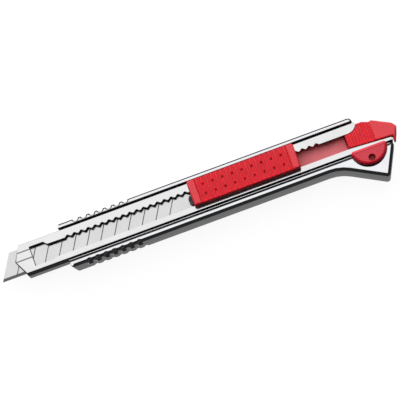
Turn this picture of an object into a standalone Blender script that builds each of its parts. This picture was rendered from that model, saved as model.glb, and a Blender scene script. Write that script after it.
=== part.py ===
"""Snap-off knife with a blade cartridge, built as separate named pieces.

The knife lies on its back. X runs from the blade tip (0) to the tail, Y from the cutting
edge to the spine with 0 on the cartridge's centreline, and Z out of the slider's face.
All lengths are in metres. The last step centres the knife on its footprint.
"""
import math

import bmesh
import bpy
from mathutils import Matrix, Vector

MM = 0.001

# ---------------------------------------------------------------- driving dimensions
GAP = 0.3 * MM                      # clearance between pieces that touch or slide

# Blade: the common narrow snap-off size.
BLADE_LENGTH = 80 * MM
BLADE_WIDTH = 9 * MM
BLADE_THICKNESS = 0.38 * MM
BLADE_SEGMENT = 5 * MM
BLADE_SEGMENTS = 12                 # snap lines along the blade
SNAP_ANGLE = math.radians(60)
DIAMOND = Matrix.Rotation(math.radians(45), 4, 'Y')
SNAP_GROOVE_DEPTH = 0.12 * MM
SNAP_GROOVE_WIDTH = 0.32 * MM
GROUND_WIDTH = 1.0 * MM             # ground band behind the cutting edge
EDGE_FLAT = 0.04 * MM
BLADE_HOLE_RADIUS = 1.3 * MM
BLADE_HOLE_FROM_TAIL = 4.0 * MM
SPARE_BLADES = 3

# Heights through the handle, the cartridge and the blade stack.
HANDLE_FLOOR = 1.1 * MM
SHEET = 0.5 * MM                    # steel sheet of the cartridge case
TRAY_FLOOR = 0.6 * MM
LEAF = 0.2 * MM                     # strip of the feed spring
LEAF_INSET = 10 * MM                # feed spring's ends from the spare blades' ends
SPRING_SPACE = 0.88 * MM
LIFTER_THICKNESS = 0.5 * MM
ROOF_SPACE = 1.5 * MM               # room over the working blade for the slider's shoe
RAIL_PROUD = 0.8 * MM               # handle rails above the case's face
GRIP_HEIGHT = 3.4 * MM
RIB_DEPTH = 0.5 * MM

# Cartridge case.
BLADE_SIDE_PLAY = 0.5 * MM
NOSE_X = 6.3 * MM
NOSE_SLANT = 2.8 * MM               # run of each slanted nose side
WINDOW_X = 12.4 * MM
UPPER_LIP = 3.25 * MM               # face left between the slot and the case's spine side
LOWER_LIP = 2.5 * MM                # face left between the slot and the cutting-edge side
WINDOW_RISE = 1.2 * MM              # window's front end is taller than the slot by this above
WINDOW_DROP = 0.45 * MM             # and by this below
WINDOW_TALL_END = 17.5 * MM
WINDOW_TALL_BOTTOM_END = 19.4 * MM
WAVE_PITCH = BLADE_SEGMENT / 2
WAVE_START = 26.1 * MM
WAVE_DIP = 0.1 * MM                 # wave crests reach this far into the slot
WAVE_HEIGHT = 0.8 * MM
CASE_CORNER = 0.3 * MM              # corners of the case's arm in plan
ARM_CORNER = 0.6 * MM
FLANGE = 0.6 * MM                   # back edges that run in the handle's grooves
FLANGE_START = 30 * MM
ARM_LENGTH = 10.1 * MM              # lower rail beyond the case's square end
ARM_END_WIDTH = 1.5 * MM

# Slider.
SLIDER_BACK = 10 * MM               # travel back to blade-in
GRIP_OVERLAP = 9.8 * MM             # grip in front of the blade's tail
GRIP_LENGTH = 38.4 * MM
GRIP_BOTTOM_INSET = 1.7 * MM        # grip's long sides from the case's sides
GRIP_TOP_INSET = 0.3 * MM
GRIP_CORNER = 0.7 * MM
GRIP_PLAIN_END = 2.5 * MM
GRIP_RIBS = 19
HOLDER_NOSE = 1.3 * MM              # dark nose in front of the grip
HOLDER_BOTTOM_PLAY = 0.6 * MM
HOLDER_TOP_PLAY = 0.95 * MM         # leaves room for the lock spring under the waves
HOLDER_PIN_RADIUS = 1.0 * MM
SHOE_LENGTH = 25.5 * MM
SHOE_CORNER = 0.8 * MM
RIVET_RADIUS = 0.8 * MM
RIVET_HEAD_RADIUS = 1.2 * MM
RIVET_HEAD = 0.6 * MM
RIVET_SPACING = 8.5 * MM
RIVET_END_DISTANCE = 3.0 * MM
LOCK_STRIP = 0.3 * MM
LOCK_BUMP_HALF = 1.0 * MM
LOCK_ARM = 8 * MM
LOCK_INSET = 0.05 * MM

# Magazine and tail.
DECK_EXTRA = 7.6 * MM               # red deck left behind the slider when it is fully back
TONGUE_LENGTH = 9.9 * MM
TONGUE_HALF_WIDTH = 2.2 * MM
TONGUE_THICKNESS = 1.0 * MM
TAIL_PIN_RADIUS = 0.75 * MM
TAIL_PIN_FROM_TAIL = 6.2 * MM
TAIL_RIB_PITCH = 1.05 * MM
TAIL_RIBS = 9
TAIL_RIB_DEPTH = 0.45 * MM
CASE_PAST_DECK = 4.8 * MM           # case's square end behind the deck's end
RAIL_CURVE_RUN = 3.7 * MM           # quarter ellipse that ends the case's upper rail

# Handle.
HANDLE_FRONT = 23.75 * MM
TOP_RAIL = 1.6 * MM
BOTTOM_RAIL = 2.75 * MM
HANDLE_EDGE = 0.8 * MM              # rounding of the handle's long edges
HANDLE_CORNER = 0.9 * MM            # its corners in plan
BOOT_SHORT = 0.1 * MM               # boot ends this far before the case's arm
GROOVE_RELIEF = 0.1 * MM            # grooves reach this far below the channel's floor
TOP_RAIL_SHORT = 1.3 * MM           # top rail ends this far before the case's square end
BOOT_DEPTH = 8.4 * MM               # boot corner below the bottom rail
BOOT_ANGLE = math.radians(29)
BOOT_BEND_RADIUS = 14 * MM
BOOT_BACK_RUN = 5.2 * MM
NOTCHES = 7
NOTCH_PITCH = 3 * MM
NOTCH_START = 6.75 * MM             # first notch behind the handle's front
NOTCH_RADIUS = 1.15 * MM
LOW_NOTCH_DEPTH = 1.35 * MM
TOP_NOTCH_DEPTH = 1.0 * MM
NOTCH_FLOOR = 6.2 * MM
BACK_NOTCH_DEPTH = 0.45 * MM        # shallow notches in the back, half a pitch behind
BACK_NOTCH_HEIGHT = 2.2 * MM
BEAD_WIDTH = 0.4 * MM               # raised bead along the channel's lower side
BEAD_HEIGHT = 0.42 * MM

# Release button.
BUTTON_RADIUS = 6.5 * MM
BUTTON_FROM_ARM_END = 8.9 * MM
BUTTON_CHORD_IN = 0.7 * MM          # chord inside the case's lower side
BUTTON_CORNER = 1.0 * MM
BUTTON_TRAVEL = 1.4 * MM
BUTTON_CAP = 1.8 * MM
BUTTON_SKIRT = 2.6 * MM
BUTTON_SKIRT_INSET = 0.5 * MM
POCKET_PLAY = 0.4 * MM
POCKET_CORNER = 0.5 * MM
POCKET_FLOOR = 4.6 * MM
POCKET_FLOOR_THICKNESS = 1.4 * MM
STEM_RADIUS = 1.1 * MM
STEM_FROM_RIM = 2.1 * MM
STEM_GROOVE_RADIUS = 0.8 * MM
STEM_END = 1.55 * MM
CLIP_RADIUS = 2.2 * MM
CLIP_THICKNESS = 0.5 * MM
CLIP_MOUTH = 0.7 * MM
COIL_WIRE = 0.5 * MM
COIL_TURNS = 4
DIMPLE_RADIUS = 1.25 * MM
DIMPLE_FROM_CHORD = 3.8 * MM
DIMPLE_DEPTH = 0.8 * MM
HOOK_WIDTH = 4 * MM
HOOK_HEIGHT = 1.0 * MM

# ---------------------------------------------------------------- sizes worked out
CASE_LOW = HANDLE_FLOOR + GAP
CASE_INNER_LOW = CASE_LOW + SHEET
TRAY_LOW = CASE_INNER_LOW + GAP
TRAY_TOP = TRAY_LOW + TRAY_FLOOR
LIFTER_LOW = TRAY_TOP + SPRING_SPACE
LIFTER_HIGH = LIFTER_LOW + LIFTER_THICKNESS
STACK_PITCH = BLADE_THICKNESS + GAP
BLADE_LOW = LIFTER_HIGH + SPARE_BLADES * STACK_PITCH + GAP
BLADE_HIGH = BLADE_LOW + BLADE_THICKNESS
CASE_INNER_HIGH = BLADE_HIGH + ROOF_SPACE + GAP
CASE_HIGH = CASE_INNER_HIGH + SHEET
HANDLE_HIGH = CASE_HIGH + RAIL_PROUD
DECK_HIGH = BLADE_LOW - GAP
UNDER_ROOF = CASE_INNER_HIGH - GAP   # top of a piece that slides under the case's face
GRIP_LOW = CASE_HIGH + GAP
GRIP_HIGH = GRIP_LOW + GRIP_HEIGHT

CASE_INNER_HALF = BLADE_WIDTH / 2 + BLADE_SIDE_PLAY
CASE_HALF = CASE_INNER_HALF + SHEET
INSIDE_HALF = CASE_INNER_HALF - GAP  # widest piece that slides inside the case
CHANNEL_HALF = CASE_HALF + GAP
SLOT_TOP = CASE_HALF - UPPER_LIP
SLOT_BOTTOM = -CASE_HALF + LOWER_LIP
WAVE_LOW = SLOT_TOP - WAVE_DIP
WAVE_HIGH = WAVE_LOW + WAVE_HEIGHT
GRIP_TOP = CASE_HALF - GRIP_TOP_INSET
GRIP_BOTTOM = -CASE_HALF + GRIP_BOTTOM_INSET
HOLDER_TOP = WAVE_LOW - HOLDER_TOP_PLAY
HOLDER_BOTTOM = SLOT_BOTTOM + HOLDER_BOTTOM_PLAY
RAIL_TOP = CHANNEL_HALF + TOP_RAIL
RAIL_BOTTOM = -CHANNEL_HALF - BOTTOM_RAIL

SPARE_X = SLIDER_BACK               # spares lie where the working blade lies when it is in
NOSE_BLOCK_END = SPARE_X - GAP
DECK_START = SPARE_X + BLADE_LENGTH + GAP
GRIP_START = BLADE_LENGTH - GRIP_OVERLAP
GRIP_END = GRIP_START + GRIP_LENGTH
TAIL_START = GRIP_END + SLIDER_BACK + DECK_EXTRA
CASE_END = TAIL_START + CASE_PAST_DECK
ARM_END = CASE_END + ARM_LENGTH
WAVES = round((TAIL_START - WAVE_START - DECK_EXTRA) / WAVE_PITCH)

SHOE_START = BLADE_LENGTH + GAP
SHOE_END = SHOE_START + SHOE_LENGTH
RIVET_REAR_X = SHOE_END - RIVET_END_DISTANCE
RIVET_FRONT_X = RIVET_REAR_X - RIVET_SPACING
RIVET_Y = (HOLDER_BOTTOM + HOLDER_TOP) / 2

BUTTON_X = ARM_END - BUTTON_FROM_ARM_END
BUTTON_Y = -CASE_HALF + BUTTON_CHORD_IN
BUTTON_CAP_LOW = CASE_HIGH + GAP + BUTTON_TRAVEL
BUTTON_CAP_HIGH = BUTTON_CAP_LOW + BUTTON_CAP
BUTTON_LOW = BUTTON_CAP_LOW - BUTTON_SKIRT
STEM_Y = BUTTON_Y - BUTTON_RADIUS + STEM_FROM_RIM
CLIP_HIGH = POCKET_FLOOR - POCKET_FLOOR_THICKNESS - GAP
CLIP_LOW = CLIP_HIGH - CLIP_THICKNESS

FAR = 0.3                           # reach of a cutter that leaves the knife
PROUD = 1 * MM                      # reach of a cutter past the face it opens


# ---------------------------------------------------------------- scene and materials
def clear_scene():
    for item in list(bpy.data.objects):
        bpy.data.objects.remove(item, do_unlink=True)


def new_collection(name):
    collection = bpy.data.collections.new(name)
    bpy.context.scene.collection.children.link(collection)
    return collection


def new_material(name, color, roughness, metallic):
    material = bpy.data.materials.new(name)
    material.use_nodes = True
    shader = material.node_tree.nodes["Principled BSDF"]
    shader.inputs["Base Color"].default_value = (*color, 1)
    shader.inputs["Roughness"].default_value = roughness
    shader.inputs["Metallic"].default_value = metallic
    return material


clear_scene()
PARTS = new_collection("snap_off_knife")
CUTTERS = new_collection("cutters")

CHROME = ((0.72, 0.72, 0.74), 0.15, 1.0)
STEEL = ((0.75, 0.75, 0.76), 0.25, 1.0)
BLADE_STEEL = ((0.66, 0.66, 0.68), 0.3, 1.0)
SPRING_STEEL = ((0.4, 0.4, 0.42), 0.35, 1.0)
DARK_STEEL = ((0.09, 0.09, 0.1), 0.45, 1.0)
RED = ((0.72, 0.04, 0.05), 0.4, 0.0)
DARK_RED = ((0.55, 0.05, 0.04), 0.5, 0.0)


# ---------------------------------------------------------------- modelling helpers
def mesh_object(name, mesh, collection):
    item = bpy.data.objects.new(name, mesh)
    collection.objects.link(item)
    return item


def rounded(corners, step=math.radians(15)):
    """Closed outline through (x, y) or (x, y, radius) corners, round ones as arcs."""
    outline = []
    for index, corner in enumerate(corners):
        point = Vector(corner[:2])
        radius = corner[2] if len(corner) > 2 else 0
        if radius == 0:
            outline.append(tuple(point))
            continue
        before = (Vector(corners[index - 1][:2]) - point).normalized()
        after = (Vector(corners[(index + 1) % len(corners)][:2]) - point).normalized()
        half = before.angle(after) / 2
        middle = point + (before + after).normalized() * radius / math.sin(half)
        start = point + before * radius / math.tan(half) - middle
        sweep = start.angle_signed(point + after * radius / math.tan(half) - middle)
        count = max(2, math.ceil(abs(sweep) / step))
        for turn in range(count + 1):
            spoke = Matrix.Rotation(-sweep * turn / count, 2) @ start
            outline.append(tuple(middle + spoke))
    return outline


def prism(name, outline, low, high, edge=0, collection=PARTS):
    """Closed plate with the given outline, from z = low to high, with rounded rims."""
    curve = bpy.data.curves.new(name, 'CURVE')
    curve.dimensions = '2D'
    curve.fill_mode = 'BOTH'
    curve.extrude = (high - low) / 2 - edge
    curve.bevel_depth = edge
    curve.bevel_resolution = 2
    curve.offset = -edge
    spline = curve.splines.new('POLY')
    spline.points.add(len(outline) - 1)
    for point, (x, y) in zip(spline.points, outline):
        point.co = (x, y, 0, 1)
    spline.use_cyclic_u = True
    item = solid_of_curve(name, curve, collection)
    item.data.transform(Matrix.Translation((0, 0, (low + high) / 2)))
    return item


def solid_of_curve(name, curve, collection=PARTS):
    """Mesh object of a curve, its doubled points merged."""
    source = bpy.data.objects.new(name + "_curve", curve)
    bpy.context.scene.collection.objects.link(source)
    bpy.context.view_layer.update()
    mesh = bpy.data.meshes.new_from_object(source)
    bpy.data.objects.remove(source, do_unlink=True)
    work = bmesh.new()
    work.from_mesh(mesh)
    bmesh.ops.remove_doubles(work, verts=work.verts, dist=1e-7)
    bmesh.ops.recalc_face_normals(work, faces=work.faces)
    work.to_mesh(mesh)
    work.free()
    return mesh_object(name, mesh, collection)


def box(name, x_range, y_range, z_range, collection=PARTS):
    work = bmesh.new()
    bmesh.ops.create_cube(work, size=1)
    ranges = (x_range, y_range, z_range)
    size = [high - low for low, high in ranges]
    middle = [(high + low) / 2 for low, high in ranges]
    bmesh.ops.scale(work, vec=size, verts=work.verts)
    bmesh.ops.translate(work, vec=middle, verts=work.verts)
    mesh = bpy.data.meshes.new(name)
    work.to_mesh(mesh)
    work.free()
    return mesh_object(name, mesh, collection)


def cylinders(name, centres, radius, low, high, sides=24, top_radius=None, collection=PARTS):
    """Upright cylinders or cones at the given (x, y) centres, as one object."""
    work = bmesh.new()
    for x, y in centres:
        place = Matrix.Translation((x, y, (low + high) / 2))
        bmesh.ops.create_cone(work, cap_ends=True, segments=sides, radius1=radius,
                              radius2=radius if top_radius is None else top_radius,
                              depth=high - low, matrix=place)
    mesh = bpy.data.meshes.new(name)
    work.to_mesh(mesh)
    work.free()
    return mesh_object(name, mesh, collection)


def combine(target, tool, operation):
    """Boolean of target with tool, which stays hidden among the cutters."""
    for collection in list(tool.users_collection):
        collection.objects.unlink(tool)
    CUTTERS.objects.link(tool)
    tool.hide_render = True
    tool.display_type = 'WIRE'
    step = target.modifiers.new(tool.name, 'BOOLEAN')
    step.operation = operation
    step.solver = 'EXACT'
    step.object = tool


def cut(target, tool):
    combine(target, tool, 'DIFFERENCE')


def join(target, tool):
    combine(target, tool, 'UNION')


def joined_boxes(name, boxes, turn=0.0):
    """Several (centre, size) blocks as one cutter, each turned about its own Z."""
    work = bmesh.new()
    for centre, size in boxes:
        block = bmesh.ops.create_cube(work, size=1)["verts"]
        bmesh.ops.scale(work, vec=size, verts=block)
        bmesh.ops.rotate(work, cent=(0, 0, 0), matrix=Matrix.Rotation(turn, 3, 'Z'), verts=block)
        bmesh.ops.translate(work, vec=centre, verts=block)
    mesh = bpy.data.meshes.new(name)
    work.to_mesh(mesh)
    work.free()
    return mesh_object(name, mesh, CUTTERS)


def upright(item):
    """Turns a plate drawn in X and Y so that its Y becomes height."""
    item.data.transform(Matrix.Rotation(math.radians(90), 4, 'X'))
    return item


def finish(item, parent, look):
    """Gives a piece its material, and the piece and its cutters their parent."""
    color, roughness, metallic = look
    item.data.materials.clear()
    item.data.materials.append(new_material(item.name, color, roughness, metallic))
    item.parent = parent
    for step in item.modifiers:
        step.object.parent = parent


def frame(name, parent=None, location=(0, 0, 0)):
    """Empty that carries the pieces of one body."""
    empty = bpy.data.objects.new(name, None)
    empty.parent = parent
    empty.location = location
    PARTS.objects.link(empty)
    return empty


# ---------------------------------------------------------------- blades
def snap_lines(name, x, high):
    """Cutter for the V-shaped lines across a blade's face; x is where line 0 would be."""
    slant = BLADE_WIDTH / math.sin(SNAP_ANGLE) + PROUD
    across = SNAP_GROOVE_WIDTH / math.sqrt(2)
    deep = SNAP_GROOVE_DEPTH * math.sqrt(2)
    section = Matrix.Diagonal((across, slant, deep, 1))
    work = bmesh.new()
    for line in range(1, BLADE_SEGMENTS + 1):
        place = Matrix.Translation((x + line * BLADE_SEGMENT, 0, high))
        turn = Matrix.Rotation(SNAP_ANGLE - math.radians(90), 4, 'Z')
        bmesh.ops.create_cube(work, size=1, matrix=place @ turn @ section @ DIAMOND)
    mesh = bpy.data.meshes.new(name)
    work.to_mesh(mesh)
    work.free()
    return mesh_object(name + "_snap_lines", mesh, CUTTERS)


def snap_blade(name, x, low, parent):
    """Segmented blade with its tip at x and its back face at z = low."""
    half = BLADE_WIDTH / 2
    lean = BLADE_WIDTH / math.tan(SNAP_ANGLE)
    high = low + BLADE_THICKNESS
    outline = [(x, -half), (x + BLADE_LENGTH, -half), (x + BLADE_LENGTH, half), (x + lean, half)]
    item = prism(name, outline, low, high)
    slope = math.atan2((BLADE_THICKNESS - EDGE_FLAT) / 2, GROUND_WIDTH)
    for side, face in ((1, high), (-1, low)):
        grind = box(f"{name}_grind_{side}", (x - PROUD, x + BLADE_LENGTH + PROUD),
                    (-2 * GROUND_WIDTH, 0), (0, PROUD))
        if side < 0:
            grind.data.transform(Matrix.Translation((0, 0, -PROUD)))
        grind.data.transform(Matrix.Rotation(side * slope, 4, 'X'))
        grind.data.transform(Matrix.Translation((0, -half + GROUND_WIDTH, face)))
        cut(item, grind)
    cut(item, snap_lines(name, x + lean / 2, high))
    hole = (x + BLADE_LENGTH - BLADE_HOLE_FROM_TAIL, 0)
    cut(item, cylinders(name + "_hole", [hole], BLADE_HOLE_RADIUS, low - PROUD, high + PROUD))
    finish(item, parent, BLADE_STEEL)


# ---------------------------------------------------------------- cartridge
def arm_edge(x):
    """Upper edge of the case's lower arm, which slopes down to the arm's end."""
    start = TAIL_START
    end_y = -CASE_HALF + ARM_END_WIDTH
    return SLOT_BOTTOM + (end_y - SLOT_BOTTOM) * (x - start) / (ARM_END - start)


def nose_outline(inset, end):
    """Pointed nose, closed at x = end, drawn in by inset from the case's outline."""
    half = CASE_HALF - inset
    slope = NOSE_SLANT / CASE_HALF
    tip = NOSE_X + inset * math.hypot(1, slope)
    return [(tip, 0), (tip + half * slope, -half), (end, -half), (end, half),
            (tip + half * slope, half)]


def window_outline():
    """Window and slot in the case's face, with the detent waves along its upper edge."""
    tall_top = SLOT_TOP + WINDOW_RISE
    tall_bottom = SLOT_BOTTOM - WINDOW_DROP
    top = [(WINDOW_X, tall_top), (WINDOW_TALL_END, tall_top),
           (WINDOW_TALL_END + WINDOW_RISE, SLOT_TOP)]
    steps = 6
    height = (WAVE_HIGH - WAVE_LOW) / 2
    for step in range(WAVES * steps + 1):
        x = WAVE_START + (step / steps - 0.5) * WAVE_PITCH
        y = WAVE_LOW + height * (1 - math.cos(2 * math.pi * step / steps))
        top.append((x, y))
    # The upper rail ends in a quarter ellipse.
    run = RAIL_CURVE_RUN
    rise = CASE_HALF - WAVE_LOW - SHEET
    for turn in range(7):
        angle = math.radians(15 * turn)
        top.append((CASE_END - run * (1 - math.sin(angle)), WAVE_LOW + rise * (1 - math.cos(angle))))
    top.append((FAR, WAVE_LOW + rise))
    bottom = [(FAR, arm_edge(FAR)), (ARM_END + PROUD, arm_edge(ARM_END)), (TAIL_START, SLOT_BOTTOM),
              (WINDOW_TALL_BOTTOM_END + WINDOW_DROP, SLOT_BOTTOM),
              (WINDOW_TALL_BOTTOM_END, tall_bottom), (WINDOW_X, tall_bottom)]
    return top + bottom


def cartridge_case(parent):
    nose = nose_outline(0, CASE_END)
    outline = [nose[0], nose[1], (ARM_END, -CASE_HALF, CASE_CORNER),
               (ARM_END, arm_edge(ARM_END), ARM_CORNER), (CASE_END, arm_edge(CASE_END)),
               (CASE_END, CASE_HALF), nose[4]]
    item = prism("cartridge_case", rounded(outline), CASE_LOW, CASE_HIGH)
    flange = CASE_HALF + FLANGE
    join(item, box("case_flange", (FLANGE_START, CASE_END - PROUD), (-flange, flange),
                   (CASE_LOW, CASE_INNER_LOW)))
    cut(item, box("case_inside", (-FAR, FAR), (-CASE_INNER_HALF, CASE_INNER_HALF),
                  (CASE_INNER_LOW, CASE_INNER_HIGH)))
    cut(item, prism("case_window", window_outline(), CASE_INNER_HIGH - GAP / 2,
                    CASE_HIGH + PROUD))
    finish(item, parent, STEEL)


def nose_block(parent):
    """Support under the blade that closes the nose in front of the spare blades."""
    inset = CASE_HALF - INSIDE_HALF
    item = prism("nose_block", nose_outline(inset, NOSE_BLOCK_END), TRAY_LOW, DECK_HIGH)
    finish(item, parent, STEEL)


def nose_guide(parent):
    """Guide over the blade, under the nose's face."""
    inset = CASE_HALF - INSIDE_HALF
    item = prism("nose_guide", nose_outline(inset, WINDOW_X - GAP), BLADE_HIGH + GAP, UNDER_ROOF)
    finish(item, parent, STEEL)


# ---------------------------------------------------------------- slider
def slider_grip(parent):
    outline = rounded([(GRIP_START, GRIP_BOTTOM, GRIP_CORNER), (GRIP_END, GRIP_BOTTOM, GRIP_CORNER),
                       (GRIP_END, GRIP_TOP, GRIP_CORNER), (GRIP_START, GRIP_TOP, GRIP_CORNER)])
    item = prism("slider_grip", outline, GRIP_LOW, GRIP_HIGH)
    span = GRIP_LENGTH - 2 * GRIP_PLAIN_END
    pitch = span / (GRIP_RIBS - 1)
    middle = (GRIP_BOTTOM + GRIP_TOP) / 2
    width = GRIP_TOP - GRIP_BOTTOM + 2 * PROUD
    valleys = []
    for valley in range(GRIP_RIBS):
        centre = (GRIP_START + GRIP_PLAIN_END + valley * pitch, middle, GRIP_HIGH)
        valleys.append((centre, (0.4 * pitch, width, 2 * RIB_DEPTH)))
    cut(item, joined_boxes("grip_valleys", valleys))
    heads = [(RIVET_FRONT_X, RIVET_Y), (RIVET_REAR_X, RIVET_Y)]
    cut(item, cylinders("grip_rivet_seats", heads, RIVET_HEAD_RADIUS + GAP,
                        GRIP_LOW - PROUD, GRIP_LOW + RIVET_HEAD + GAP, sides=16))
    finish(item, parent, RED)


def rivet_holes(item):
    centres = [(RIVET_FRONT_X, RIVET_Y), (RIVET_REAR_X, RIVET_Y)]
    cut(item, cylinders(item.name + "_rivet_holes", centres, RIVET_RADIUS + GAP,
                        BLADE_LOW - PROUD, GRIP_LOW + PROUD, sides=16))


def blade_holder(parent):
    """Plate in the slot whose pin sits in the blade's hole."""
    round_end = (HOLDER_TOP - HOLDER_BOTTOM) / 2
    start = GRIP_START - HOLDER_NOSE
    outline = rounded([(start, HOLDER_BOTTOM, 0.99 * round_end), (SHOE_END, HOLDER_BOTTOM),
                       (SHOE_END, HOLDER_TOP), (start, HOLDER_TOP, 0.99 * round_end)])
    item = prism("blade_holder", outline, CASE_INNER_HIGH, CASE_HIGH)
    pin = (BLADE_LENGTH - BLADE_HOLE_FROM_TAIL, 0)
    join(item, cylinders("holder_pin", [pin], HOLDER_PIN_RADIUS, BLADE_LOW + GAP / 10,
                         CASE_INNER_HIGH + SHEET / 2, sides=16))
    rivet_holes(item)
    finish(item, parent, DARK_STEEL)


def guide_shoe(parent):
    """Block behind the blade, under the case's face, that keeps the slider on its slot."""
    corner = SHOE_CORNER
    half = INSIDE_HALF - GAP / 3
    outline = rounded([(SHOE_START, -half, corner), (SHOE_END, -half, corner),
                       (SHOE_END, half, corner), (SHOE_START, half, corner)], math.radians(30))
    item = prism("guide_shoe", outline, BLADE_LOW, UNDER_ROOF)
    rivet_holes(item)
    finish(item, parent, STEEL)


def slider_rivet(name, x, parent):
    """Rivet with its head inside the grip, set flush under the shoe."""
    item = cylinders(name, [(x, RIVET_Y)], RIVET_RADIUS, BLADE_LOW, GRIP_LOW + RIVET_HEAD / 2,
                     sides=16)
    join(item, cylinders(name + "_head", [(x, RIVET_Y)], RIVET_HEAD_RADIUS, GRIP_LOW,
                         GRIP_LOW + RIVET_HEAD, sides=16))
    finish(item, parent, STEEL)


def lock_spring(parent):
    """Flat spring beside the holder whose bump drops into one detent wave."""
    low = HOLDER_TOP + GAP
    high = low + LOCK_STRIP
    bump = WAVE_HIGH - GAP - high
    wave = round((RIVET_FRONT_X - LOCK_ARM - WAVE_START) / WAVE_PITCH)
    centre = WAVE_START + wave * WAVE_PITCH
    steps = 12
    upper = []
    lower = []
    for step in range(steps + 1):
        offset = (2 * step / steps - 1) * LOCK_BUMP_HALF
        rise = bump / 2 * (1 + math.cos(math.pi * offset / LOCK_BUMP_HALF))
        upper.append((centre + offset, high + rise))
        lower.append((centre + offset, low + rise * 0.9))
    ends = [(centre + LOCK_ARM, high), (centre + LOCK_ARM, low)]
    starts = [(centre - LOCK_ARM / 2, low), (centre - LOCK_ARM / 2, high)]
    outline = upper + ends + lower[::-1] + starts
    item = prism("lock_spring", outline, CASE_INNER_HIGH + LOCK_INSET, CASE_HIGH - LOCK_INSET)
    finish(item, parent, SPRING_STEEL)


# ---------------------------------------------------------------- magazine
def tongue(name, play, collection=PARTS):
    """Tail cap's tongue, or with play the slot that takes it."""
    middle = (TRAY_LOW + DECK_HIGH) / 2
    half = TONGUE_THICKNESS / 2 + play
    width = TONGUE_HALF_WIDTH + play
    return box(name, (TAIL_START - TONGUE_LENGTH - play, TAIL_START + PROUD), (-width, width),
               (middle - half, middle + half), collection)


def tail_pin_hole(item):
    centre = (TAIL_START - TAIL_PIN_FROM_TAIL, 0)
    cut(item, cylinders(item.name + "_pin_hole", [centre], TAIL_PIN_RADIUS + GAP,
                        TRAY_LOW - PROUD, DECK_HIGH - 2 * GAP, sides=16))


def magazine_tray(parent):
    """Floor under the spare blades and the solid deck behind them."""
    item = box("magazine_tray", (SPARE_X + GAP, DECK_START + PROUD), (-INSIDE_HALF, INSIDE_HALF),
               (TRAY_LOW, TRAY_TOP))
    join(item, box("tray_deck", (DECK_START, TAIL_START - GAP), (-INSIDE_HALF, INSIDE_HALF),
                   (TRAY_LOW, DECK_HIGH)))
    cut(item, tongue("tray_slot", GAP))
    tail_pin_hole(item)
    finish(item, parent, DARK_RED)


def tail_pin(parent):
    centre = (TAIL_START - TAIL_PIN_FROM_TAIL, 0)
    item = cylinders("tail_pin", [centre], TAIL_PIN_RADIUS, TRAY_LOW + GAP, DECK_HIGH - 3 * GAP,
                     sides=16)
    finish(item, parent, STEEL)


def tail_outline():
    """Pull block in the slot's open end, behind the case and round the arm's end."""
    wrap = ARM_END + 1.5 * GAP
    slot_end = CASE_END - CASE_PAST_DECK / 2
    return [(TAIL_START, SLOT_BOTTOM + GAP), (wrap, arm_edge(wrap) + GAP),
            (wrap, -CASE_HALF - GAP / 2), (wrap + 0.5 * MM, -CASE_HALF - GAP / 2, GAP),
            (wrap + 1.5 * MM, -3.4 * MM, 1.5 * MM), (wrap + 2.35 * MM, -1.0 * MM, 1.0 * MM),
            (wrap + 1.1 * MM, 0.6 * MM, 0.6 * MM),
            (wrap - 5.1 * MM, CASE_HALF - 1.65 * MM, 0.6 * MM),
            (wrap - 6.2 * MM, CASE_HALF - 1.9 * MM, 0.6 * MM),
            (wrap - 8.5 * MM, CASE_HALF - 1.0 * MM, 0.8 * MM), (CASE_END + GAP, CASE_HALF - 1.2 * MM),
            (CASE_END, SLOT_TOP + 0.9 * MM), (slot_end, WAVE_LOW - GAP), (TAIL_START, WAVE_LOW - GAP)]


def tail_cap(parent):
    """Red tail: a plug inside the case and the block that pulls the magazine out."""
    outline = [(TAIL_START, -INSIDE_HALF), (ARM_END - PROUD, -INSIDE_HALF),
               (ARM_END - PROUD, 0), (CASE_END + PROUD, 0), (CASE_END + PROUD, INSIDE_HALF),
               (TAIL_START, INSIDE_HALF)]
    item = prism("tail_cap", outline, TRAY_LOW, UNDER_ROOF)
    join(item, prism("tail_block", rounded(tail_outline()), DECK_HIGH, HANDLE_HIGH))
    join(item, tongue("tail_tongue", 0))
    valleys = []
    for rib in range(TAIL_RIBS):
        x = TAIL_START + (rib + 0.5) * TAIL_RIB_PITCH
        valleys.append(((x, 0, HANDLE_HIGH), (0.4 * TAIL_RIB_PITCH, 2 * CASE_HALF, 2 * TAIL_RIB_DEPTH)))
    cut(item, joined_boxes("tail_ribs", valleys))
    tail_pin_hole(item)
    finish(item, parent, RED)


def blade_lifter(parent):
    """Plate that the feed spring presses up under the spare blades."""
    half = BLADE_WIDTH / 2
    item = box("blade_lifter", (SPARE_X + GAP, SPARE_X + BLADE_LENGTH), (-half, half),
               (LIFTER_LOW, LIFTER_HIGH))
    finish(item, parent, STEEL)


def feed_spring(parent):
    """Bowed leaf spring between the tray's floor and the lifter."""
    low = TRAY_TOP + GAP / 2
    high = LIFTER_LOW - GAP / 2
    start = SPARE_X + LEAF_INSET
    end = SPARE_X + BLADE_LENGTH - LEAF_INSET
    steps = 16
    top = []
    under = []
    for step in range(steps + 1):
        x = start + (end - start) * step / steps
        rise = (high - low - LEAF) * math.sin(math.pi * step / steps)
        top.append((x, low + LEAF + rise))
        under.append((x, low + rise))
    width = BLADE_WIDTH * 0.6
    item = upright(prism("feed_spring", under + top[::-1], -width / 2, width / 2))
    finish(item, parent, SPRING_STEEL)


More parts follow.
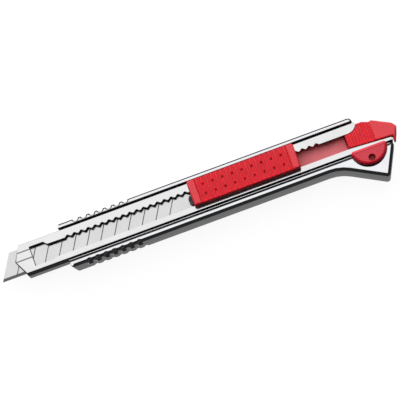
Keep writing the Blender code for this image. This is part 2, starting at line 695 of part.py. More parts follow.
# ---------------------------------------------------------------- handle
def handle_outline():
    corner_y = RAIL_BOTTOM - BOOT_DEPTH
    boot_end = ARM_END - BOOT_SHORT
    corner_x = boot_end - BOOT_BACK_RUN
    bend_x = corner_x - BOOT_DEPTH / math.tan(BOOT_ANGLE)
    top_end = CASE_END - TOP_RAIL_SHORT
    corner = HANDLE_CORNER
    return rounded([(HANDLE_FRONT, RAIL_BOTTOM, corner), (bend_x, RAIL_BOTTOM, BOOT_BEND_RADIUS),
                    (corner_x, corner_y, corner), (boot_end, -CASE_HALF - PROUD),
                    (boot_end - 1.4 * PROUD, arm_edge(ARM_END) + PROUD), (top_end, CASE_HALF / 2),
                    (top_end, RAIL_TOP, corner), (HANDLE_FRONT, RAIL_TOP, corner)])


def arc(centre, radius, start, end, steps):
    """Points on a circle from one angle to another."""
    points = []
    for step in range(steps + 1):
        angle = start + (end - start) * step / steps
        points.append((centre[0] + radius * math.cos(angle), centre[1] + radius * math.sin(angle)))
    return points


def half_moon(radius, chord, corner):
    """Disc about the origin cut off above y = chord, its two corners rounded."""
    corner_y = chord - corner
    corner_x = math.sqrt((radius - corner) ** 2 - corner_y ** 2)
    tilt = math.atan2(corner_y, corner_x)
    left = arc((-corner_x, corner_y), corner, math.pi / 2, math.pi - tilt, 6)
    bow = arc((0, 0), radius, math.pi - tilt, 2 * math.pi + tilt, 16)
    right = arc((corner_x, corner_y), corner, tilt, math.pi / 2, 6)
    return left + bow[1:-1] + right


def finger_notches(item):
    """Blind notches along both rails' sides, and shallow ones in the back between them."""
    front_row = [HANDLE_FRONT + NOTCH_START + index * NOTCH_PITCH for index in range(NOTCHES)]
    back_row = [x + NOTCH_PITCH / 2 for x in front_row]
    above = (NOTCH_FLOOR, HANDLE_HIGH + PROUD)
    below = (-PROUD, BACK_NOTCH_HEIGHT)
    for name, row, edge, depth, (low, high) in (
            ("low_notches", front_row, RAIL_BOTTOM, LOW_NOTCH_DEPTH, above),
            ("top_notches", front_row, RAIL_TOP, TOP_NOTCH_DEPTH, above),
            ("low_back_notches", back_row, RAIL_BOTTOM, BACK_NOTCH_DEPTH, below),
            ("top_back_notches", back_row, RAIL_TOP, BACK_NOTCH_DEPTH, below)):
        y = edge + math.copysign(NOTCH_RADIUS - depth, edge)
        cut(item, cylinders(name, [(x, y) for x in row], NOTCH_RADIUS, low, high, sides=20))


def handle_body(parent):
    item = prism("handle_body", handle_outline(), 0, HANDLE_HIGH, edge=HANDLE_EDGE)
    cut(item, box("handle_channel", (-FAR, FAR), (-CHANNEL_HALF, CHANNEL_HALF),
                  (HANDLE_FLOOR, HANDLE_HIGH + PROUD)))
    cut(item, box("handle_step", (-FAR, FAR), (-FAR, -CHANNEL_HALF - BEAD_WIDTH),
                  (HANDLE_HIGH - BEAD_HEIGHT, HANDLE_HIGH + PROUD)))
    groove = CHANNEL_HALF + FLANGE
    cut(item, box("handle_grooves", (FLANGE_START - GAP, FAR), (-groove, groove),
                  (HANDLE_FLOOR - GROOVE_RELIEF, CASE_INNER_LOW + GAP)))
    finger_notches(item)
    pocket = prism("button_pocket", half_moon(BUTTON_RADIUS + POCKET_PLAY, 0.0, POCKET_CORNER),
                   POCKET_FLOOR, HANDLE_HIGH + PROUD)
    pocket.data.transform(Matrix.Translation((BUTTON_X, BUTTON_Y, 0)))
    cut(item, pocket)
    stem = [(BUTTON_X, STEM_Y)]
    cut(item, cylinders("stem_hole", stem, STEM_RADIUS + GAP, 0.5 * HANDLE_FLOOR,
                        POCKET_FLOOR + PROUD))
    cut(item, cylinders("clip_recess", stem, CLIP_RADIUS + POCKET_PLAY, -PROUD,
                        POCKET_FLOOR - POCKET_FLOOR_THICKNESS))
    finish(item, parent, CHROME)


def release_button(parent):
    """Half-moon button, drawn about its stem's axis."""
    chord = BUTTON_Y - STEM_Y
    item = prism("release_button", half_moon(BUTTON_RADIUS, 0.0, BUTTON_CORNER),
                 BUTTON_CAP_LOW, BUTTON_CAP_HIGH)
    item.data.transform(Matrix.Translation((0, chord, 0)))
    skirt = prism("button_skirt", half_moon(BUTTON_RADIUS - BUTTON_SKIRT_INSET,
                                            -BUTTON_CHORD_IN - 3 * GAP, BUTTON_CORNER / 2),
                  BUTTON_LOW, BUTTON_CAP_LOW + BUTTON_CAP / 2)
    skirt.data.transform(Matrix.Translation((0, chord, 0)))
    join(item, skirt)
    hook_y = -CHANNEL_HALF - STEM_Y
    join(item, box("button_hook", (-HOOK_WIDTH / 2, HOOK_WIDTH / 2), (hook_y - PROUD, hook_y),
                   (BUTTON_LOW, BUTTON_LOW + HOOK_HEIGHT)))
    groove_low = CLIP_LOW - GAP
    groove_high = CLIP_HIGH + GAP
    join(item, cylinders("button_stem", [(0, 0)], STEM_RADIUS, groove_high, BUTTON_LOW + PROUD))
    join(item, cylinders("stem_neck", [(0, 0)], STEM_GROOVE_RADIUS, groove_low - GAP,
                         groove_high + GAP))
    join(item, cylinders("stem_foot", [(0, 0)], STEM_RADIUS, STEM_END, groove_low))
    dimple = (0, chord - DIMPLE_FROM_CHORD)
    cut(item, cylinders("button_dimple", [dimple], 0.5 * DIMPLE_RADIUS,
                        BUTTON_CAP_HIGH - DIMPLE_DEPTH, BUTTON_CAP_HIGH + GAP, top_radius=DIMPLE_RADIUS))
    finish(item, parent, RED)


def button_clip(parent):
    """Open ring in the stem's groove that keeps the button in its pocket."""
    outer = CLIP_RADIUS
    inner = STEM_GROOVE_RADIUS + GAP
    outline = []
    steps = 24
    for radius, order in ((outer, 1), (inner, -1)):
        mouth = math.asin(CLIP_MOUTH / radius)
        ring = []
        for step in range(steps + 1):
            angle = mouth + (2 * math.pi - 2 * mouth) * step / steps
            ring.append((radius * math.cos(angle), radius * math.sin(angle)))
        outline += ring[::order]
    item = prism("button_clip", outline, CLIP_LOW, CLIP_HIGH)
    finish(item, parent, SPRING_STEEL)


def button_spring(parent):
    """Coil round the button's stem, on the pocket's floor."""
    radius = STEM_RADIUS + GAP + COIL_WIRE / 2 + 0.1 * MM
    low = POCKET_FLOOR + GAP + COIL_WIRE / 2
    high = BUTTON_LOW - GAP - COIL_WIRE / 2
    curve = bpy.data.curves.new("button_spring", 'CURVE')
    curve.dimensions = '3D'
    curve.bevel_depth = COIL_WIRE / 2
    curve.bevel_resolution = 1
    curve.use_fill_caps = True
    points = 12 * COIL_TURNS
    spline = curve.splines.new('POLY')
    spline.points.add(points)
    for index, point in enumerate(spline.points):
        angle = 2 * math.pi * COIL_TURNS * index / points
        height = low + (high - low) * index / points
        point.co = (BUTTON_X + radius * math.cos(angle), STEM_Y + radius * math.sin(angle), height, 1)
    item = solid_of_curve("button_spring", curve)
    finish(item, parent, SPRING_STEEL)


# ---------------------------------------------------------------- assembly
def centre_on_footprint(root):
    """Moves the whole knife so that its bounding box is centred on X = Y = 0 at z = 0."""
    bpy.context.view_layer.update()
    graph = bpy.context.evaluated_depsgraph_get()
    low = Vector((FAR, FAR, FAR))
    high = -low
    for item in PARTS.objects:
        if item.type != 'MESH':
            continue
        solid = item.evaluated_get(graph)
        for vertex in solid.data.vertices:
            point = solid.matrix_world @ vertex.co
            low = Vector(map(min, low, point))
            high = Vector(map(max, high, point))
    root.location = (-(low.x + high.x) / 2, -(low.y + high.y) / 2, -low.z)


def build():
    root = frame("knife")
    handle = frame("handle", root)
    cartridge = frame("cartridge", handle)
    slider = frame("slider", cartridge)
    magazine = frame("magazine", cartridge)
    button = frame("button", handle, (BUTTON_X, STEM_Y, 0))

    handle_body(handle)
    button_spring(handle)
    release_button(button)
    button_clip(button)

    cartridge_case(cartridge)
    nose_block(cartridge)
    nose_guide(cartridge)

    slider_grip(slider)
    blade_holder(slider)
    guide_shoe(slider)
    lock_spring(slider)
    slider_rivet("slider_rivet_front", RIVET_FRONT_X, slider)
    slider_rivet("slider_rivet_rear", RIVET_REAR_X, slider)
    snap_blade("blade", 0, BLADE_LOW, slider)

    tail_cap(magazine)
    magazine_tray(magazine)
    tail_pin(magazine)
    feed_spring(magazine)
    blade_lifter(magazine)
    for number in range(SPARE_BLADES):
        low = LIFTER_HIGH + GAP + number * STACK_PITCH
        snap_blade(f"spare_blade_{SPARE_BLADES - number}", SPARE_X, low, magazine)

    centre_on_footprint(root)


build()
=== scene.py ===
"""Looks of the snap-off knife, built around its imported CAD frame.

Every piece is drawn in the knife's own coordinates, in metres: X runs from the blade's tip (0)
to the tail, Y from the cutting edge to the spine with 0 on the blade's centreline, and Z out of
the slider's face. dress() moves a finished piece from there into the frame.
"""
import math

import bmesh
import bpy
from mathutils import Matrix, Vector


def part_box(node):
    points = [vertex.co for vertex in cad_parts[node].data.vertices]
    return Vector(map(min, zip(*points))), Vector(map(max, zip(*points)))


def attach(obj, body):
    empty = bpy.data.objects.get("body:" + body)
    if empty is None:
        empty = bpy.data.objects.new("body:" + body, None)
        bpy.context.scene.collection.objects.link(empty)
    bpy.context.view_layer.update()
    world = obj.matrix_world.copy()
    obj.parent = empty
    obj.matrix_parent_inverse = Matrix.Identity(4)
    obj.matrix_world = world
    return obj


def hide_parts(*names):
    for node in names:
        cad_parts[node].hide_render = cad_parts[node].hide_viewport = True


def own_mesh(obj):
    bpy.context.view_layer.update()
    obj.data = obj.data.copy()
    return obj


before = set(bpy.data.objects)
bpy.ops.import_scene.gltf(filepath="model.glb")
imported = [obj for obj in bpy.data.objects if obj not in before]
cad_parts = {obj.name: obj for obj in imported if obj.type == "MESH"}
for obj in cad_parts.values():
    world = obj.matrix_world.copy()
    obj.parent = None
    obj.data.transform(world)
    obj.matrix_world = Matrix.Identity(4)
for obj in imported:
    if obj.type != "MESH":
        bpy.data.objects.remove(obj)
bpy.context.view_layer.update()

MM = 0.001
FAR = 0.3                           # reach of a cutter that leaves the knife
PROUD = 1 * MM                      # reach of a cutter past the face it opens
HAIR = 0.02 * MM                    # small enough not to show
MERGE = 0.002 * MM                  # corners closer than this become one

# ---------------------------------------------------------------- sizes taken from the frame
BLADE_LOW, BLADE_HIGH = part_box("blade")
ORIGIN = Vector((BLADE_LOW.x, (BLADE_LOW.y + BLADE_HIGH.y) / 2, 0))


def extent(node):
    """Lowest and highest corner of a CAD node in the knife's own coordinates."""
    low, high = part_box(node)
    return low - ORIGIN, high - ORIGIN


CASE_MIN, CASE_MAX = extent("cartridge_case")
HANDLE_MIN, HANDLE_MAX = extent("handle_body")
GRIP_MIN, GRIP_MAX = extent("slider_grip")
TRAY_MIN, TRAY_MAX = extent("magazine_tray")
TAIL_MIN, TAIL_MAX = extent("tail_cap")
BUTTON_MIN, BUTTON_MAX = extent("release_button")
COIL_MIN, COIL_MAX = extent("button_spring")
CLIP_MIN, CLIP_MAX = extent("button_clip")

# ---------------------------------------------------------------- sizes the boxes don't hold
GAP = 0.3 * MM
SHEET = 0.5 * MM
FLANGE = 0.6 * MM
FLANGE_START = 30 * MM
FLANGE_RELIEF = 0.1 * MM            # grooves reach this far below the channel's floor
CASE_HALF = CASE_MAX.y - FLANGE
CASE_INNER_HALF = CASE_HALF - SHEET
INSIDE_HALF = CASE_INNER_HALF - GAP
CHANNEL_HALF = CASE_HALF + GAP
CASE_LOW = CASE_MIN.z
CASE_HIGH = CASE_MAX.z
HANDLE_FLOOR = CASE_LOW - GAP
HANDLE_HIGH = HANDLE_MAX.z

NOSE_SLANT = 2.8 * MM
BEND_WIDTH = 0.6 * MM               # the case's long sides lean in by this over their upper part
BEND_HEIGHT = 2.8 * MM
BEND_ROUND = 0.12 * MM
INNER_BEND = 0.27 * MM              # inside, the sides lean in less, clear of what slides there
SPINE_BEND = 0.2 * MM               # bend along the spine's side
NOSE_CHAMFER = 0.3 * MM
BACK_BEND = 0.5 * MM
BACK_BEND_LOSS = 0.8                # of the inset comes off the back bend's radius
SEAM_WIDTH = 0.42 * MM
SEAM_DEPTH = 0.4 * MM
SEAMS = (-0.14 * MM, 2.73 * MM)     # fold lines on the nose
WINDOW_X = 12.4 * MM
UPPER_LIP = 3.25 * MM               # sheet beside the slot, on the spine's side
LOWER_LIP = 2.5 * MM
SLOT_TOP = CASE_HALF - UPPER_LIP
SLOT_BOTTOM = -CASE_HALF + LOWER_LIP
WINDOW_RISE = 1.2 * MM
WINDOW_DROP = 0.45 * MM
WINDOW_TALL_END = 17.5 * MM
WINDOW_TALL_BOTTOM_END = 19.4 * MM
WAVE_PITCH = 2.5 * MM
WAVE_START = 26.1 * MM
WAVE_END_TO_TAIL = 7.6 * MM
WAVE_DIP = 0.1 * MM
WAVE_LOW = SLOT_TOP - WAVE_DIP
WAVE_HEIGHT = 0.7 * MM
SLOT_CHAMFER = 0.15 * MM            # coined upper edge of the slot
ARM_LENGTH = 10.1 * MM
ARM_END_WIDTH = 1.5 * MM
CASE_CORNER = 0.3 * MM              # corners of the arm in plan
ARM_CORNER = 0.6 * MM
ARM_END = CASE_MAX.x
CASE_END = ARM_END - ARM_LENGTH
CASE_PAST_DECK = 4.8 * MM
TAIL_START = CASE_END - CASE_PAST_DECK
RAIL_CURVE_RUN = 0.77 * CASE_PAST_DECK  # quarter ellipse that ends the upper rail
WAVES = round((TAIL_START - WAVE_START - WAVE_END_TO_TAIL) / WAVE_PITCH)

HANDLE_FRONT = HANDLE_MIN.x
RAIL_TOP = HANDLE_MAX.y
LOW_RAIL = 2.75 * MM
RAIL_BOTTOM = -CHANNEL_HALF - LOW_RAIL
FRONT_LEAN = 1.0 * MM               # the handle's front leans back by this towards its back
TOP_RAIL_SHORT = 0.65 * MM
BOOT_DEPTH = 8.4 * MM
BOOT_ANGLE = math.radians(29)
BOOT_BEND_RADIUS = 14 * MM
BOOT_BACK_RUN = 5.2 * MM
BOOT_SHORT = 0.1 * MM               # boot ends this far before the case's arm
BOOT_SHOULDER = 1.1 * MM
BOOT_STEP = 1.5 * MM
HANDLE_CORNER = 1.2 * MM
TOP_CORNER = 0.8 * MM
TOP_END_CORNER = 1.5 * MM
FRONT_END = HANDLE_FRONT + 2 * HANDLE_CORNER  # the front's lean acts up to here
HANDLE_PROFILE = (                  # inset and height up the handle's outer side
    (0.45 * MM, 0), (0.14 * MM, 0.13 * MM), (0, 0.5 * MM), (0.03 * MM, 5 * MM),
    (0.12 * MM, HANDLE_HIGH - 0.9 * MM), (0.2 * MM, HANDLE_HIGH - 0.76 * MM),
    (1.0 * MM, HANDLE_HIGH - 0.06 * MM), (1.12 * MM, HANDLE_HIGH))
FRONT_SHARE = 0.2                   # of those insets along the handle's front
TOP_SHARE = 0.6                     # and along the top rail
INNER_FILLET = 0.25 * MM            # top rail's edge along the channel
GROOVE_INNER = 0.12 * MM            # width of the bead between the channel and the groove
GROOVE_OUTER = 0.85 * MM            # far side of the groove, from the channel's wall
GROOVE_DEPTH = 0.6 * MM
NOTCHES = 7
NOTCH_PITCH = 3 * MM
NOTCH_START = 6.75 * MM
NOTCH_RADIUS = 1.0 * MM
LOW_NOTCH_DEPTH = 1.1 * MM
TOP_NOTCH_DEPTH = 1.0 * MM
BACK_NOTCH_DEPTH = 0.45 * MM
NOTCH_FLOOR = 5.0 * MM
NOTCH_CHAMFER = 0.45 * MM
BACK_NOTCH_HEIGHT = 2.2 * MM
NOTCHES_END = HANDLE_FRONT + NOTCH_START + NOTCHES * NOTCH_PITCH
SHADE_DEPTH = 0.3 * MM              # channel and pocket are matt and darkened with painted shade from this far down
NOTCH_SHADE = 0.35 * MM             # notch walls get the same matt, painted-shade casting from this far in

RIB_CREST = 1.8                     # the higher, the narrower a rib's crest
GRIP_RIBS = 19
GRIP_PLAIN_END = 2.5 * MM
RIB_DEPTH = 0.6 * MM
GRIP_EDGE = 0.75 * MM
GRIP_LOW_CORNER = 1.05 * GRIP_EDGE
GRIP_TOP_CORNER = 0.7 * MM
GRIP_TOP_SHARE = 0.45               # of GRIP_EDGE along the grip's spine side
RIB_START = 0.5 * MM                # ribs from the grip's lower side
GRIP_DIMPLES = 9
DIMPLE_ROWS = (2.5 * MM, -0.9 * MM)
DIMPLE_DEPTH = 0.9 * MM
DIMPLE_FLOOR_RADIUS = 0.3 * MM
DIMPLE_TOP_RADIUS = 0.75 * MM

TAIL_RIBS = 9
TAIL_RIB_PITCH = 1.05 * MM
TAIL_RIB_DEPTH = 0.4 * MM
TAIL_EDGE = 0.5 * MM
TAIL_SHOULDER = 1.2 * MM            # pull block's top, below the case's upper side
TAIL_LIP = 0.9 * MM                 # pull block over the slot's upper edge
TAIL_PULL = (                       # corners of the pull: x past the arm and its play, y, rounding
    (0.5 * MM, -CASE_HALF - GAP / 2, GAP), (1.5 * MM, -3.4 * MM, 1.5 * MM),
    (2.35 * MM, -1.0 * MM, 1.0 * MM), (1.1 * MM, 0.6 * MM, 0.6 * MM),
    (-5.1 * MM, CASE_HALF - 1.65 * MM, 0.6 * MM), (-6.2 * MM, CASE_HALF - 1.9 * MM, 0.6 * MM),
    (-8.5 * MM, CASE_HALF - 1.0 * MM, 0.8 * MM))
TONGUE_HALF_WIDTH = 2.2 * MM
TONGUE_HALF_HEIGHT = 0.5 * MM
PIN_FROM_TAIL = 6.2 * MM
PIN_HOLE_RADIUS = 1.05 * MM

BUTTON_RADIUS = (BUTTON_MAX.x - BUTTON_MIN.x) / 2
BUTTON_X = (BUTTON_MAX.x + BUTTON_MIN.x) / 2
BUTTON_Y = BUTTON_MAX.y
BUTTON_CAP = 1.8 * MM
BUTTON_SKIRT = 2.6 * MM
BUTTON_CORNER = 1.0 * MM
BUTTON_EDGE = 1.1 * MM
SKIRT_INSET = 0.5 * MM
SKIRT_CHORD = -1.3 * MM
HOOK_HALF_WIDTH = 2 * MM
HOOK_HEIGHT = 1.0 * MM
BUTTON_DIMPLE = (-0.1 * MM, -4.2 * MM)
BUTTON_DIMPLE_DEPTH = 1.5 * MM
BUTTON_DIMPLE_FLOOR_RADIUS = 0.9 * MM
BUTTON_DIMPLE_TOP_RADIUS = 1.3 * MM
BUTTON_DIMPLE_MIDDLE = 0.6 * MM
BUTTON_DIMPLE_RIM = 0.1 * MM        # top of the dimple that stays crimson, above the painted shade
POCKET_PLAY = 0.15 * MM
POCKET_FLOOR = 4.6 * MM
POCKET_CORNER = 0.5 * MM
STEM_Y = (COIL_MIN.y + COIL_MAX.y) / 2
STEM_RADIUS = 1.1 * MM
NECK_RADIUS = 0.8 * MM
COIL_TURNS = 4
COIL_WIRE_RADIUS = 0.25 * MM


# ---------------------------------------------------------------- outlines
def rounded(corners, step=math.radians(12)):
    """Closed outline through (x, y) or (x, y, radius) corners, round ones as arcs."""
    outline = []
    for index, corner in enumerate(corners):
        point = Vector(corner[:2])
        radius = corner[2] if len(corner) > 2 else 0
        if radius == 0:
            outline.append(tuple(point))
            continue
        before = (Vector(corners[index - 1][:2]) - point).normalized()
        after = (Vector(corners[(index + 1) % len(corners)][:2]) - point).normalized()
        half = before.angle(after) / 2
        middle = point + (before + after).normalized() * radius / math.sin(half)
        start = point + before * radius / math.tan(half) - middle
        sweep = start.angle_signed(point + after * radius / math.tan(half) - middle)
        count = max(2, math.ceil(abs(sweep) / step))
        for turn in range(count + 1):
            spoke = Matrix.Rotation(-sweep * turn / count, 2) @ start
            outline.append(tuple(middle + spoke))
    return outline


def arc(centre, radii, start, end, steps):
    """Points on an ellipse from one angle to another."""
    points = []
    for step in range(steps + 1):
        angle = start + (end - start) * step / steps
        points.append((centre[0] + radii[0] * math.cos(angle), centre[1] + radii[1] * math.sin(angle)))
    return points


def leftward(outline):
    """The outline in the order that keeps its inside on the left."""
    area = 0
    for (x0, y0), (x1, y1) in zip(outline, outline[1:] + outline[:1]):
        area += x0 * y1 - x1 * y0
    return outline if area > 0 else outline[::-1]


def drawn_in(outline, distances):
    """The outline, its inside on the left, with each corner moved inwards by its distance."""
    moved = []
    for index, corner in enumerate(outline):
        point = Vector(corner)
        before = (point - Vector(outline[index - 1])).normalized()
        after = (Vector(outline[(index + 1) % len(outline)]) - point).normalized()
        normal_before = Vector((-before.y, before.x))
        normal_after = Vector((-after.y, after.x))
        miter = (normal_before + normal_after) / (1 + normal_before.dot(normal_after))
        moved.append(tuple(point + miter * distances[index]))
    return moved


def arm_edge(x):
    """Upper edge of the case's lower arm, which slopes down to the arm's end."""
    end_y = -CASE_HALF + ARM_END_WIDTH
    return SLOT_BOTTOM + (end_y - SLOT_BOTTOM) * (x - TAIL_START) / (ARM_END - TAIL_START)


def half_moon(radius, chord, corner, steps=32):
    """Disc about the origin cut off above y = chord, its two corners rounded."""
    corner_y = chord - corner
    corner_x = math.sqrt((radius - corner) ** 2 - corner_y ** 2)
    tilt = math.atan2(corner_y, corner_x)
    round_corner = (corner, corner)
    left = arc((-corner_x, corner_y), round_corner, math.pi / 2, math.pi - tilt, 8)
    bow = arc((0, 0), (radius, radius), math.pi - tilt, 2 * math.pi + tilt, steps)
    right = arc((corner_x, corner_y), round_corner, tilt, math.pi / 2, 8)
    return left + bow[1:-1] + right


# ---------------------------------------------------------------- mesh helpers
def mesh_object(name, work):
    """Object of a finished bmesh, its faces turned outwards."""
    bmesh.ops.recalc_face_normals(work, faces=work.faces)
    mesh = bpy.data.meshes.new(name)
    work.to_mesh(mesh)
    work.free()
    item = bpy.data.objects.new(name, mesh)
    bpy.context.scene.collection.objects.link(item)
    return item


def lofted(name, loops):
    """Closed solid through loops of equal length, capped at both ends."""
    work = bmesh.new()
    rings = [[work.verts.new(point) for point in loop] for loop in loops]
    for lower, upper in zip(rings, rings[1:]):
        for index in range(len(lower)):
            after = (index + 1) % len(lower)
            work.faces.new((lower[index], lower[after], upper[after], upper[index]))
    work.faces.new(rings[0][::-1])
    work.faces.new(rings[-1])
    return mesh_object(name, work)


def plate(name, outline, profile, share=None):
    """Solid with an upright outline, drawn in by (inset, z) up its profile.

    share(x, y) scales the insets of the corner at that place.
    """
    outline = leftward(outline)
    shares = [share(x, y) if share else 1 for x, y in outline]
    loops = []
    for inset, z in profile:
        loop = drawn_in(outline, [inset * part for part in shares])
        loops.append([(x, y, z) for x, y in loop])
    return lofted(name, loops)


def prism(name, outline, low, high):
    return plate(name, outline, [(0, low), (0, high)])


def bar(name, section, start, end):
    """Solid with a (y, z) section, from x = start to end."""
    return lofted(name, [[(start, y, z) for y, z in section], [(end, y, z) for y, z in section]])


def comb(name, section, start, end):
    """Solid with an (x, z) section, from y = start to end."""
    return lofted(name, [[(x, start, z) for x, z in section], [(x, end, z) for x, z in section]])


def block(name, x_range, y_range, z_range):
    section = [(y_range[0], z_range[0]), (y_range[1], z_range[0]),
               (y_range[1], z_range[1]), (y_range[0], z_range[1])]
    return bar(name, section, *x_range)


def round_posts(name, centres, radius, low, high, sides=28, top_radius=None):
    """Upright cylinders or cones at the given (x, y) centres, as one object."""
    work = bmesh.new()
    for x, y in centres:
        place = Matrix.Translation((x, y, (low + high) / 2))
        bmesh.ops.create_cone(work, cap_ends=True, segments=sides, radius1=radius,
                              radius2=radius if top_radius is None else top_radius,
                              depth=high - low, matrix=place)
    return mesh_object(name, work)


def freeze(item):
    """Applies the item's modifiers to its mesh."""
    bpy.context.view_layer.update()
    graph = bpy.context.evaluated_depsgraph_get()
    mesh = bpy.data.meshes.new_from_object(item.evaluated_get(graph))
    item.modifiers.clear()
    item.data = mesh


def combine(target, tool, operation):
    step = target.modifiers.new("combine", 'BOOLEAN')
    step.operation = operation
    step.solver = 'EXACT'
    step.object = tool
    freeze(target)
    bpy.data.objects.remove(tool, do_unlink=True)


def cut(target, tool):
    combine(target, tool, 'DIFFERENCE')


def join(target, tool):
    combine(target, tool, 'UNION')


def dress(item, body, slot, material, *nodes, shade_material=None, in_painted_shade=None):
    """Shades a piece, moves it into the frame, ties it to its body and hides its CAD nodes. The slot
    argument is not used.

    Faces whose centre and normal the given test picks get the second material, which paints shade into
    them.
    """
    work = bmesh.new()
    work.from_mesh(item.data)
    bmesh.ops.remove_doubles(work, verts=work.verts, dist=MERGE)
    bmesh.ops.dissolve_degenerate(work, edges=work.edges, dist=MERGE / 2)
    work.to_mesh(item.data)
    work.free()
    item.data.shade_smooth()
    item.data.set_sharp_from_angle(angle=math.radians(32))
    weighted = item.modifiers.new("weighted", 'WEIGHTED_NORMAL')
    weighted.keep_sharp = True
    freeze(item)
    item.data.materials.clear()
    item.data.materials.append(material)
    if shade_material:
        item.data.materials.append(shade_material)
        for face in item.data.polygons:
            face.material_index = 1 if in_painted_shade(face.center, face.normal) else 0
    item.data.transform(Matrix.Translation(ORIGIN))
    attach(item, body)
    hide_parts(*nodes)


# ---------------------------------------------------------------- materials
def new_material(name, color, metallic, roughness):
    material = bpy.data.materials.new(name)
    material.use_nodes = True
    shader = material.node_tree.nodes["Principled BSDF"]
    shader.inputs["Base Color"].default_value = (*color, 1)
    shader.inputs["Metallic"].default_value = metallic
    shader.inputs["Roughness"].default_value = roughness
    return material, shader


def node(material, kind, **settings):
    made = material.node_tree.nodes.new(kind)
    for name, value in settings.items():
        setattr(made, name, value)
    return made


def link(material, source, target):
    material.node_tree.links.new(source, target)


def noise(material, per_metre, detail=4):
    """Noise in the object's own space, with its scale along X, Y and Z."""
    place = node(material, "ShaderNodeTexCoord")
    scale = node(material, "ShaderNodeMapping")
    scale.inputs["Scale"].default_value = per_metre
    texture = node(material, "ShaderNodeTexNoise")
    texture.inputs["Scale"].default_value = 1
    texture.inputs["Detail"].default_value = detail
    link(material, place.outputs["Object"], scale.inputs["Vector"])
    link(material, scale.outputs["Vector"], texture.inputs["Vector"])
    return texture.outputs["Fac"]


def ramp(material, source, low, high, start=0.3, end=0.7):
    """Colours from low to high as the source goes from start to end."""
    made = node(material, "ShaderNodeValToRGB")
    made.color_ramp.elements[0].position = start
    made.color_ramp.elements[0].color = (*low, 1)
    made.color_ramp.elements[1].position = end
    made.color_ramp.elements[1].color = (*high, 1)
    link(material, source, made.inputs["Fac"])
    return made.outputs["Color"]


def spread(material, source, low, high):
    """Number from low to high as noise goes across its usual range."""
    made = node(material, "ShaderNodeMapRange")
    made.inputs["From Min"].default_value = 0.3
    made.inputs["From Max"].default_value = 0.7
    made.inputs["To Min"].default_value = low
    made.inputs["To Max"].default_value = high
    link(material, source, made.inputs["Value"])
    return made.outputs["Result"]


def bump(material, shader, source, height, strength=1.0):
    made = node(material, "ShaderNodeBump")
    made.inputs["Strength"].default_value = strength
    made.inputs["Distance"].default_value = height
    link(material, source, made.inputs["Height"])
    link(material, made.outputs["Normal"], shader.inputs["Normal"])


def metal(name, color, roughness, grain, variation=0.05, relief=0.0):
    """Metal with faint tarnish and a grain whose scale is given along X, Y and Z."""
    material, shader = new_material(name, color, 1.0, roughness)
    tarnish = noise(material, (180, 180, 180), detail=3)
    dull = tuple(part * (1 - variation) for part in color)
    link(material, ramp(material, tarnish, dull, color), shader.inputs["Base Color"])
    lines = noise(material, grain)
    link(material, spread(material, lines, roughness * 0.75, roughness * 1.25),
         shader.inputs["Roughness"])
    if relief:
        bump(material, shader, lines, relief)
    return material


def plastic(name, color, roughness, mottle=0.08, relief=0.004 * MM):
    """Moulded plastic: faintly mottled colour and the fine grain of the mould."""
    material, shader = new_material(name, color, 0.0, roughness)
    cloud = noise(material, (400, 400, 400), detail=5)
    deep = tuple(part * (1 - mottle) for part in color)
    link(material, ramp(material, cloud, deep, color), shader.inputs["Base Color"])
    fine = noise(material, (5000, 5000, 5000), detail=2)
    link(material, spread(material, fine, roughness * 0.85, roughness * 1.15),
         shader.inputs["Roughness"])
    bump(material, shader, fine, relief)
    return material


ALONG = (60, 4000, 4000)            # grain that runs along the knife
ACROSS = (4000, 60, 4000)
EVEN = (900, 900, 900)

CHROME = metal("chromed_casting", (0.5, 0.505, 0.52), 0.07, EVEN)
# matt as-cast steel, darkened as painted shade for the channel, groove, pocket and notch walls
MATT_CASTING_AND_SHADE = metal("matt_casting_painted_shade", (0.2, 0.2, 0.205), 0.4, EVEN)
CASE_STEEL = metal("polished_sheet", (0.48, 0.48, 0.485), 0.12, ALONG)
INNER_STEEL = metal("plain_steel", (0.5, 0.5, 0.51), 0.3, ALONG)
BLADE_STEEL = metal("ground_blade", (0.42, 0.42, 0.425), 0.16, ACROSS)
SPRING_STEEL = metal("spring_steel", (0.35, 0.35, 0.37), 0.3, ALONG)
DARK_STEEL = metal("blackened_steel", (0.05, 0.05, 0.055), 0.4, EVEN)
RED = plastic("red_plastic", (0.95, 0.03, 0.05), 0.38)
CRIMSON = plastic("button_plastic", (0.82, 0.014, 0.045), 0.36)
# dark red painted into the deep faces of the grip's and the button's dimples, as painted shade
DIMPLE_SHADE_RED = plastic("dimple_painted_shade", (0.36, 0.01, 0.01), 0.6)
# the tray's duller red, lightened as painted light to make up for the shade in its deep recess
DULL_RED_WITH_PAINTED_LIGHT = plastic("tray_plastic", (1.0, 0.2, 0.23), 0.5)


# ---------------------------------------------------------------- handle
def handle_outline():
    boot_end = ARM_END - BOOT_SHORT
    corner_y = RAIL_BOTTOM - BOOT_DEPTH
    corner_x = boot_end - BOOT_BACK_RUN
    bend_x = corner_x - BOOT_DEPTH / math.tan(BOOT_ANGLE)
    top_end = CASE_END - TOP_RAIL_SHORT
    return rounded([(HANDLE_FRONT, RAIL_BOTTOM, HANDLE_CORNER), (bend_x, RAIL_BOTTOM, BOOT_BEND_RADIUS),
                    (corner_x, corner_y, HANDLE_CORNER), (boot_end, -CASE_HALF - BOOT_SHOULDER),
                    (ARM_END - BOOT_STEP, arm_edge(ARM_END) + PROUD), (top_end, CASE_HALF / 2),
                    (top_end, RAIL_TOP, TOP_END_CORNER), (HANDLE_FRONT, RAIL_TOP, TOP_CORNER)])


def edge_share(x, y):
    """Share of the handle's profile insets at a corner of its outline."""
    corner, most = (HANDLE_CORNER, 1) if y < 0 else (TOP_CORNER, TOP_SHARE)
    return most * max(FRONT_SHARE, min(1, (x - HANDLE_FRONT) / corner))


